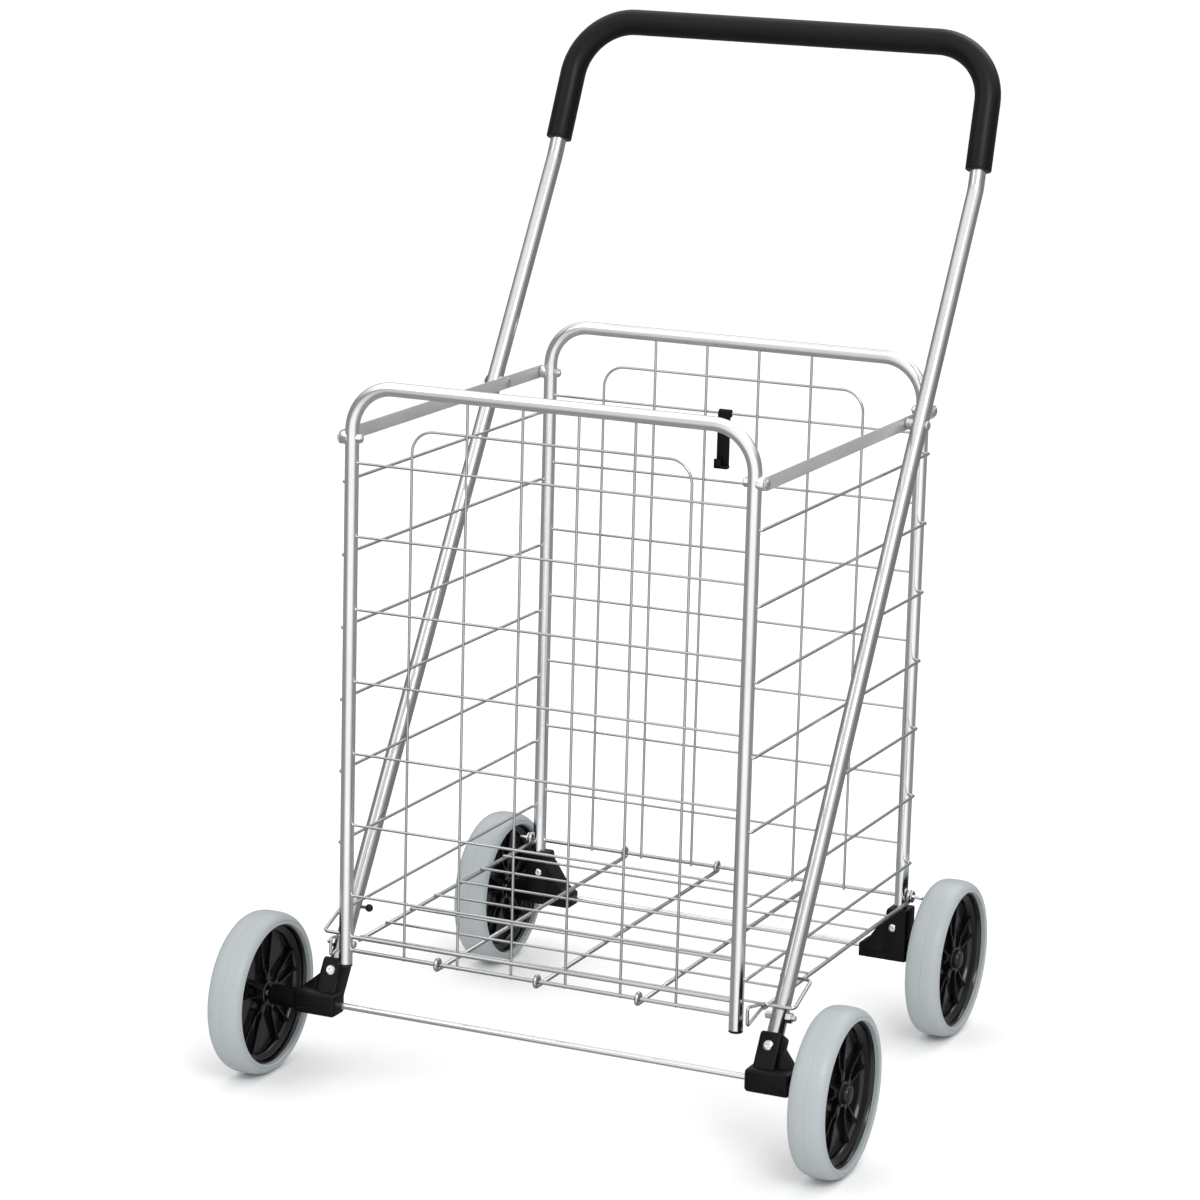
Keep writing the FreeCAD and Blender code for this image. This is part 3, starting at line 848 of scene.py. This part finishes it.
# --- feet --------------------------------------------------------------------
@dataclass
class FrontFoot:
    """Moulded foot of the handle: a socket over an arm that carries the axle."""

    lay: Layout
    socket_half: float = 11.3
    socket_foot: float = 74.0
    socket_top: float = 116.5
    arm_half: float = 12.0
    arm_drop: float = 10.5
    arm_from: float = 213.8
    arm_to: float = 259.0
    sleeve_from: float = 250.0
    sleeve_to: float = 287.5
    rib_from: float = 219.0
    rib_to: float = 253.0
    rivet_z: float = 104.6

    def make(self, side: Side) -> None:
        """Build one foot.

        Args:
            side: The side it is on.
        """
        lay, sign = self.lay, side.value
        bm = bmesh.new()
        half = self.socket_half
        corners = [lay.on_handle(z, edge) for z, edge in
                   ((self.socket_top, half), (self.socket_top, -half), (self.socket_foot, -half),
                    (self.socket_foot, half))]
        slab(bm, side_view(corners, sign * (lay.handle_x - half)), X * (sign * 2 * half), 3.2, segments=4)
        y, z = lay.front_axle_y, lay.axle_z
        arm = rectangle((y - self.arm_half, z - self.arm_drop), (y + self.arm_half, z + self.arm_half))
        slab(bm, side_view(arm, sign * self.arm_from), X * (sign * (self.arm_to - self.arm_from)), 4.0,
             segments=4)
        end = self.sleeve_to
        turned(bm, [(self.sleeve_from, 0.0), (self.sleeve_from, 10.8), (end - 1.0, 10.0), (end, 9.2),
                    (end, 0.0)], Vector((0, y, z)), X * sign, steps=40)
        inner, outer = lay.handle_x + 7, self.arm_to - 0.5
        gusset = [(inner, 80.0), (outer, 80.0), (outer, 90.5), (inner + 5.5, 105.5),
                  (inner + 5.5, 112.5), (inner, 114.5)]
        slab(bm, [Vector((sign * a, lay.on_handle(b)[0] - 6.0, b)) for a, b in gusset], Y * 11.0, 1.4)
        rib = [(self.rib_from, z + 2.0), (self.rib_to, z - 3.0), (self.rib_to, z - 5.5),
               (self.rib_from, z - 0.5)]
        for face in (y - self.arm_half - 0.6, y + self.arm_half):
            slab(bm, front_view(rib, face, sign), Y * 0.6, 0.28, segments=1)
        Piece("front_foot_%s_moulding" % side.word, ("front_bracket_" + side.word,), "handle",
              BRACKET_PLASTIC).make(bm)

    def rivets(self) -> None:
        """The rivet heads on the front faces of both sockets."""
        lay = self.lay
        normal = Vector((0, -math.cos(lay.lean), math.sin(lay.lean)))
        bm = bmesh.new()
        for side in Side:
            at = Vector((side.value * lay.handle_x, *lay.on_handle(self.rivet_z, self.socket_half)))
            turned(bm, rivet_profile(5.4, 2.6), at, normal)
        Piece("front_foot_rivets", ("front_bracket_rivets",), "handle", FASTENER_STEEL).make(bm)


def rivet_profile(radius: float, height: float) -> Outline:
    """Outline of a domed rivet head with a shallow dimple.

    Args:
        radius: Radius of the head.
        height: How far it stands out.

    Returns:
        Points as (distance along the axis, radius).
    """
    return [(-1.0, 0.0), (-1.0, radius * 0.9), (0.2, radius), (height * 0.45, radius * 0.93),
            (height * 0.8, radius * 0.74), (height, radius * 0.5), (height * 0.93, radius * 0.3),
            (height * 0.7, radius * 0.2), (height * 0.62, 0.0)]


@dataclass
class RearFoot:
    """Moulded foot of a rear leg: a socket with an inner web and an axle sleeve."""

    lay: Layout
    front: float = 11.0
    back: float = 14.0
    drop: float = 7.0
    top: float = 128.0
    sleeve_from: float = 208.0
    sleeve_to: float = 239.5
    rivet_z: float = 108.0

    def make(self, side: Side) -> None:
        """Build one foot.

        Args:
            side: The side it is on.
        """
        lay, sign = self.lay, side.value
        bm = bmesh.new()
        low = lay.axle_z - self.drop
        y = lay.rear_y - self.front
        depth = Y * (self.front + self.back)
        block = [(190.0, low), (214.0, low), (214.0, self.top), (192.0, self.top), (190.0, 118.0)]
        slab(bm, front_view(block, y, sign), depth, 2.2, segments=4)
        web = [(163.0, low), (196.0, low), (196.0, 121.0), (189.5, 118.0), (172.0, 92.0), (163.0, 87.0)]
        slab(bm, front_view(web, y + 0.6, sign), depth - Y * 1.2, 1.8)
        rib = rectangle((168.0, low + 5), (212.0, low + 8))
        slab(bm, front_view(rib, y - 0.6, sign), Y * 2.0, 0.5, segments=2)
        start, end = self.sleeve_from, self.sleeve_to
        turned(bm, [(start, 0.0), (start, 11.2), (end - 1.0, 10.4), (end, 9.5), (end, 0.0)],
               Vector((0, lay.rear_axle_y, lay.axle_z)), X * sign, steps=40)
        Piece("rear_foot_%s_moulding" % side.word, ("rear_bracket_" + side.word,), "rear_frame",
              BRACKET_PLASTIC).make(bm)

    def rivets(self) -> None:
        """The rivet heads on the front faces of both feet."""
        bm = bmesh.new()
        for side in Side:
            at = Vector((side.value * (self.lay.leg_x - 4.0), self.lay.rear_y - self.front, self.rivet_z))
            turned(bm, rivet_profile(4.4, 2.0), at, -Y)
        Piece("rear_foot_rivets", ("rear_bracket_rivets",), "rear_frame", FASTENER_STEEL).make(bm)


@dataclass
class Axle:
    """A plain rod across the trolley."""

    node: str
    body: str
    radius: float = 3.0

    def make(self) -> None:
        """Build the rod."""
        low, high = limits(self.node)
        at = middle((low, high))
        bm = bmesh.new()
        bar(bm, [(low.x, at.y, at.z), (high.x, at.y, at.z)], self.radius, segments=24)
        Piece(self.node + "_rod", (self.node,), self.body, AXLE_STEEL).make(bm)


# --- handle ------------------------------------------------------------------
@dataclass
class Handle:
    """The leaning handle with its grip, rivets, collars and stop bolts."""

    lay: Layout
    foot: float = 88.0
    bend_z: float = 855.0
    top_x: float = 223.7
    corner: float = 61.0
    grip_radius: float = 13.1
    grip_end: float = 873.0
    stop_z: float = 131.2
    stop_from: float = 215.4
    stop_to: float = 245.2
    shank: float = 2.5

    def outline(self) -> list[Vector]:
        """Corner points of the U, from its left foot to its right one.

        Returns:
            The six points.
        """
        lay = self.lay
        right = [Vector((self.top_x, lay.handle_top_y, lay.handle_top)),
                 Vector((lay.handle_x, *lay.on_handle(self.bend_z))),
                 Vector((lay.handle_x, *lay.on_handle(self.foot)))]
        return [Vector((-point.x, point.y, point.z)) for point in reversed(right)] + right

    def tube(self) -> None:
        """The bent tube."""
        bm = bmesh.new()
        bar(bm, self.outline(), HANDLE_RADIUS, self.corner, segments=44, steps=24)
        Piece("handle_tube_bright", ("handle_tube",), "handle", BRIGHT_HANDLE).make(bm)

    def grip(self) -> None:
        """The sleeve, with a soft rolled rim at each end."""
        top, bend = self.outline()[3:5]
        end = bend.lerp(top, (self.grip_end - bend.z) / (top.z - bend.z))
        points = [end, top, Vector((-top.x, top.y, top.z)), Vector((-end.x, end.y, end.z))]
        bm = bmesh.new()
        bar(bm, points, self.grip_radius, self.corner, segments=48, steps=28,
            tips=(Tip.SQUARE, Tip.SQUARE))
        rims = [edge for edge in bm.edges if any(len(face.verts) > 4 for face in edge.link_faces)]
        bmesh.ops.bevel(bm, geom=rims, offset=1.3, segments=4, profile=0.5, affect="EDGES", material=-1)
        Piece("handle_grip_sleeve", ("handle_grip",), "handle", GRIP_SLEEVE).make(bm)

    def rivets(self) -> None:
        """Rivets that carry the handle on the straps, with their collars."""
        lay, shank = self.lay, self.shank
        heads, collars = bmesh.new(), bmesh.new()
        inner = lay.strap_x - 0.3
        outer = lay.handle_x + HANDLE_RADIUS
        turned_pair(heads, [(inner - 1.9, 0.0), (inner - 1.8, 2.0), (inner - 1.3, 4.2),
                            (inner - 0.7, 4.9), (inner, 4.9), (inner, shank), (outer - 0.4, shank),
                            (outer - 0.4, 5.0), (outer + 0.7, 4.8), (outer + 1.7, 3.4),
                            (outer + 2.0, 1.6), (outer + 2.0, 0.0)], lay.pivot_y, lay.strap_z)
        face, end = lay.strap_x + 1.8, lay.handle_x - 4.0
        turned_pair(collars, [(face, 2.8), (face, 5.1), (face + 0.4, 5.5), (end, 5.5), (end, 2.8)],
                    lay.pivot_y, lay.strap_z, ring=True)
        Piece("handle_rivet_set", ("handle_rivets",), "handle", FASTENER_STEEL).make(heads)
        Piece("handle_collars", ("handle_spacers",), "handle", BRIGHT_HANDLE).make(collars)

    def stops(self) -> None:
        """Bolts through the handle's feet, each with a nut outside."""
        lay, inner, outer = self.lay, self.stop_from, self.stop_to
        bm = bmesh.new()
        y, z = lay.on_handle(self.stop_z)
        tube = lay.handle_x - 5
        turned_pair(bm, [(inner, 0.0), (inner, 2.9), (inner + 0.6, 3.6), (tube, 3.6),
                         (tube, self.shank), (outer, self.shank), (outer, 0.0)], y, z, steps=28)
        nut = lay.handle_x + HANDLE_RADIUS - 1.0
        turned_pair(bm, [(nut, 2.0), (nut, 5.2), (nut + 5.2, 5.2), (nut + 6.0, 4.4), (nut + 6.0, 2.0)],
                    y, z, steps=6, ring=True)
        Piece("handle_stop_bolts", ("stop_bolts",), "handle", FASTENER_STEEL).make(bm)


@dataclass
class Guide:
    """Bent wires round the handle's feet, with a ball on each inner end."""

    lay: Layout
    wire: float = 1.75
    inner_x: float = 216.55
    outer_x: float = 246.3
    z: float = 148.0
    ball: float = 3.9
    ball_x: float = 218.7
    front: float = 36.0
    back: float = 77.0
    drop: float = 5.0
    rise: float = 11.0

    def hook(self, side: Side) -> None:
        """One hook with its eye.

        Args:
            side: The side it is on.
        """
        lay, sign = self.lay, side.value
        front, back = lay.front_y + self.front, lay.front_y + self.back
        low, high = self.z - self.drop, self.z + self.rise
        bm = bmesh.new()
        bar(bm, [(sign * self.inner_x, front - 10, low + 2.6), (sign * self.inner_x, front, low),
                 (sign * self.outer_x, front, low), (sign * self.outer_x, back, high),
                 (sign * self.ball_x, back, high)], self.wire, 5.0, segments=16, steps=8)
        eye = [(front - 2.0, low + 1.0), (lay.front_y - 5.5, low + 9.0), (lay.front_y - 5.5, low - 9.0),
               (front - 1.0, low - 1.0)]
        bar(bm, [(sign * self.inner_x, y, z) for y, z in eye], self.wire - 0.2, 2.5, segments=14, steps=8)
        Piece("guide_wire_" + side.word, ("guide_hook_" + side.word,), "guide", BRIGHT_WIRE).make(bm)

    def tips(self) -> None:
        """The balls."""
        bm = bmesh.new()
        for side in Side:
            at = Vector((side.value * self.ball_x, self.lay.front_y + self.back, self.z + self.rise))
            bmesh.ops.create_uvsphere(bm, u_segments=28, v_segments=18, radius=self.ball,
                                      matrix=Matrix.Translation(at))
        Piece("guide_balls", ("guide_tips",), "guide", TIP_RUBBER).make(bm)


# --- wheels ------------------------------------------------------------------
@dataclass
class Wheel:
    """A wheel with a crowned tyre, a dished rim with double ribs, and a hub cap."""

    name: str
    side: Side
    first_rib: float = 90.0
    width: float = 36.0
    rim_width: float = 25.4
    rim_radius: float = 69.0
    hub_radius: float = 12.5
    pairs: int = 5

    @property
    def body(self) -> str:
        """The body the wheel is."""
        return self.name + "_wheel"

    @property
    def centre(self) -> Vector:
        """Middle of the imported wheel."""
        return middle(limits(self.name + "_tyre"))

    def tyre(self) -> None:
        """The tyre: a crown with a fine mould line, and a lip on each side."""
        half = self.width / 2
        crown = [(half - 0.3, 73.2), (half - 1.0, 75.0), (half - 2.6, 76.8), (half - 5.0, 78.3),
                 (half - 8.0, 79.3), (half - 11.5, 79.85), (1.1, 79.98), (0.5, 80.0), (0.3, 79.8)]
        edge = [(half - 2.0, 68.9), (half - 0.9, 69.0), (half - 0.2, 69.6), (half, 70.5), (half - 0.1, 71.5),
                (half - 0.8, 72.1), (half - 0.7, 72.5)]
        right = edge + crown
        left = [(-along, radius) for along, radius in reversed(right)]
        bm = bmesh.new()
        turned(bm, right + left, self.centre, X, steps=128, ring=True)
        Piece(self.name + "_tyre_crowned", (self.name + "_tyre",), self.body, TYRE_RUBBER,
              crease=50.0).make(bm)

    def ray(self, bm: Mesh, angle: float, start: Pair, end: Pair, depth: float, thickness: float) -> None:
        """One straight rib in the wheel's plane.

        Args:
            bm: Mesh being built.
            angle: Direction of its pair, in degrees.
            start: Its inner end, as distance out and distance aside.
            end: Its outer end, likewise.
            depth: How far it stands out of the middle plane on each side.
            thickness: Its thickness.
        """
        turn = Matrix.Rotation(math.radians(angle - 90.0) * self.side.value, 3, "X")
        a, b = (turn @ Vector((0, aside, out)) for out, aside in (start, end))
        edge = (b - a).cross(X).normalized() * (thickness / 2)
        corners = (a - edge, a + edge, b + edge, b - edge)
        outline = [self.centre + corner - X * depth for corner in corners]
        slab(bm, outline, X * (2 * depth), 0.5, segments=2)

    def rim(self) -> None:
        """The dished rim: hoop, web, hub, lugs and pairs of ribs."""
        half = self.rim_width / 2
        outer = self.rim_radius
        side = [(half, outer), (half + 0.3, outer - 0.6), (half, outer - 1.6), (half - 1.2, outer - 2.2),
                (half - 4.5, outer - 2.8), (half - 5.6, outer - 4.0), (half - 7.0, outer - 7.6),
                (half - 8.0, outer - 8.6), (1.2, outer - 9.4), (1.2, self.hub_radius),
                (8.6, self.hub_radius - 0.3), (9.6, self.hub_radius - 1.2), (9.6, 9.8), (8.8, 9.6),
                (8.8, 3.2)]
        mirrored = [(-along, radius) for along, radius in reversed(side)]
        bm = bmesh.new()
        turned(bm, side + mirrored, self.centre, X, steps=120, ring=True)
        for number in range(self.pairs):
            angle = self.first_rib + 360.0 / self.pairs * number
            self.ray(bm, angle, (self.hub_radius - 1.5, 0.0), (21.0, 0.0), 7.6, 8.0)
            for sign in (-1, 1):
                self.ray(bm, angle, (19.5, 2.8 * sign), (25.5, 5.4 * sign), 7.0, 2.4)
                self.ray(bm, angle, (24.5, 5.2 * sign), (outer - 7.6, 12.0 * sign), 6.0, 2.0)
        Piece(self.name + "_rim_dished", (self.name + "_rim",), self.body, RIM_PLASTIC).make(bm)

    def cap(self) -> None:
        """The hub cap."""
        low, high = limits(self.name + "_hub_cap")
        out = self.side.value
        face = low.x if out > 0 else -high.x
        at = Vector((0, self.centre.y, self.centre.z))
        bm = bmesh.new()
        turned(bm, [(face - 1.8, 3.4), (face - 1.8, 9.3), (face + 2.6, 9.1), (face + 3.8, 8.4),
                    (face + 4.6, 6.6), (face + 5.0, 3.5), (face + 5.0, 0.0), (face + 3.6, 0.0),
                    (face + 3.6, 3.4)], at, X * out, steps=48, ring=True)
        Piece(self.name + "_cap", (self.name + "_hub_cap",), self.body, CAP_PLASTIC).make(bm)

    def make(self) -> None:
        """Build the wheel."""
        self.tyre()
        self.rim()
        self.cap()


# --- latch -------------------------------------------------------------------
@dataclass
class Latch:
    """Clip that hangs on the rear panel's top wire."""

    lay: Layout
    left: float = -14.0
    right: float = -0.5
    bore: float = 1.7
    ring: float = 4.2
    length: float = 54.0

    def make(self) -> None:
        """Build the clip."""
        y, left, right = self.lay.rear_y, self.left, self.right
        bm = bmesh.new()
        turned(bm, [(left, self.bore), (left, 3.4), (left + 0.5, self.ring), (right - 0.5, self.ring),
                    (right, 3.4), (right, self.bore)], Vector((0, y, GRID_TOP)), X, ring=True)
        low = GRID_TOP - self.length
        plate = rectangle((left, low), (right, GRID_TOP))
        foot = rectangle((left - 1, low - 2), (right + 0.5, low + 1.5))
        hook = rectangle((left - 1, low - 1), (left + 7, low + 8))
        for outline, front, depth, edge in ((plate, 4.4, 2.6, 0.8), (foot, 9.0, 7.2, 0.9),
                                            (hook, 9.0, 2.4, 0.9)):
            slab(bm, front_view(outline, y - front), Y * depth, edge)
        Piece("latch_clip_moulding", ("latch_clip",), "latch", CLIP_PLASTIC).make(bm)


# --- studio ------------------------------------------------------------------
@dataclass
class Studio:
    """Pale floor, soft lights and the camera."""

    lay: Layout
    eye: tuple[float, float, float] = (1547.97, -3528.61, 1339.91)
    azimuth: float = 24.27
    elevation: float = 12.79
    roll: float = 1.52
    lens: float = 122.22
    shade: float = 0.3
    front: float = 1.15
    top: float = 1.3
    target: float = 0.45

    @property
    def azimuth_angle(self) -> float:
        """The camera's azimuth, in radians."""
        return math.radians(self.azimuth)

    def floor(self) -> None:
        """A wide pale floor."""
        bm = bmesh.new()
        bmesh.ops.create_grid(bm, x_segments=1, y_segments=1, size=40.0)
        mesh = bpy.data.meshes.new("studio_floor")
        bm.to_mesh(mesh)
        bm.free()
        made = bpy.data.materials.new("studio_paper")
        made.use_nodes = True
        wires = Wiring(made.node_tree)
        shader = wires.node("ShaderNodeBsdfPrincipled", Base_Color=(0.95, 0.95, 0.95, 1), Roughness=0.9,
                            Specular_IOR_Level=0.0)
        wires.feed(wires.node("ShaderNodeOutputMaterial"), {"Surface": shader.outputs["BSDF"]})
        mesh.materials.append(made)
        floor = linked("studio_floor", mesh)
        floor.visible_glossy = False

    def light(self, name: str, at: tuple[float, float, float], size: float, power: float) -> None:
        """A square soft light that faces the trolley.

        Args:
            name: Name of the light.
            at: Its place, in metres.
            size: Length of its side, in metres.
            power: Its power, in watts.
        """
        data = bpy.data.lights.new(name, "AREA")
        data.shape = "SQUARE"
        data.size = size
        data.energy = power
        made = linked(name, data)
        made.location = at
        made.rotation_euler = (Vector(at) - Z * self.target).to_track_quat("Z", "Y").to_euler()

    def world(self) -> None:
        """Surroundings bright above and in front, and grey at the sides and behind."""
        world = bpy.data.worlds.new("studio_room")
        bpy.context.scene.world = world
        world.use_nodes = True
        wires = Wiring(world.node_tree)
        place = wires.node("ShaderNodeTexCoord")
        facing = wires.node("ShaderNodeVectorMath", operation="DOT_PRODUCT")
        facing.inputs[1].default_value = (math.sin(self.azimuth_angle), -math.cos(self.azimuth_angle), 0.0)
        parts = wires.node("ShaderNodeSeparateXYZ")
        for node in (facing, parts):
            wires.feed(node, {0: place.outputs["Generated"]})
        brightest = wires.node("ShaderNodeMath", operation="MAXIMUM")
        wires.feed(brightest, {0: wires.ramp(facing.outputs["Value"], 0.45, 0.85, self.shade, self.front),
                               1: wires.ramp(parts.outputs[2], 0.25, 0.7, self.shade, self.top)})
        background = wires.node("ShaderNodeBackground", Color=(1, 1, 1, 1))
        wires.feed(background, {"Strength": brightest.outputs[0]})
        wires.feed(wires.node("ShaderNodeOutputWorld"), {"Surface": background.outputs[0]})

    def camera(self) -> None:
        """The camera, at the trolley's front right."""
        a, e, r = self.azimuth_angle, math.radians(self.elevation), math.radians(self.roll)
        back = Vector((math.sin(a) * math.cos(e), -math.cos(a) * math.cos(e), math.sin(e)))
        across = Z.cross(back).normalized()
        up = back.cross(across)
        right = across * math.cos(r) + up * math.sin(r)
        top = up * math.cos(r) - across * math.sin(r)
        data = bpy.data.cameras.new("camera")
        data.lens = self.lens
        data.sensor_width = 36.0
        data.clip_end = 100.0
        made = linked("camera", data)
        turn = Matrix((right, top, back)).transposed().to_4x4()
        basket_y = (self.lay.front_y + self.lay.rear_y) / 2
        made.matrix_world = Matrix.Translation((Vector(self.eye) + Y * basket_y) * MM) @ turn
        bpy.context.scene.camera = made

    def make(self) -> None:
        """Set up the studio."""
        self.floor()
        self.world()
        self.light("key", (2.6, -3.0, 3.4), 1.8, 58.0)
        self.light("fill", (-2.4, -2.8, 2.6), 1.6, 9.0)
        self.light("back", (0.5, 2.6, 3.4), 2.0, 22.0)
        self.camera()
        bpy.context.scene.view_settings.view_transform = "Standard"


# --- the whole trolley -------------------------------------------------------
def main() -> None:
    """Build every sub-assembly in order."""
    logging.basicConfig(level=logging.INFO, format="%(message)s")
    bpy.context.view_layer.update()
    lay = Layout.read()
    LOG.info("layout %s", lay)
    panels = [Panel(lay, "rear_panel", "rear_frame", lay.rear_y, REAR_LEG_FOOT, -1, (SILL_Z,)),
              Panel(lay, "front_panel", "front_frame", lay.front_y, FRONT_LEG_FOOT, 1,
                    (SILL_Z, 154.0))]
    for panel in panels:
        panel.tube()
        panel.wires()
    StrapFixings(lay, "rear", "rear_frame", lay.rear_y).make()
    StrapFixings(lay, "front", "front_frame", lay.front_y).make()
    FootPlugs(lay).make()
    Links(lay).make()
    floor = Floor(lay)
    floor.make()
    floor.pins()
    front, rear = FrontFoot(lay), RearFoot(lay)
    for side in Side:
        front.make(side)
        rear.make(side)
    front.rivets()
    rear.rivets()
    Axle("front_axle", "handle").make()
    Axle("rear_axle", "rear_frame").make()
    handle = Handle(lay)
    handle.tube()
    handle.grip()
    handle.rivets()
    handle.stops()
    guide = Guide(lay)
    for side in Side:
        guide.hook(side)
    guide.tips()
    for end in ("front", "rear"):
        for side in Side:
            Wheel("%s_%s" % (end, side.word), side).make()
    Latch(lay).make()
    Studio(lay).make()


if __name__ == "__main__":
    main()
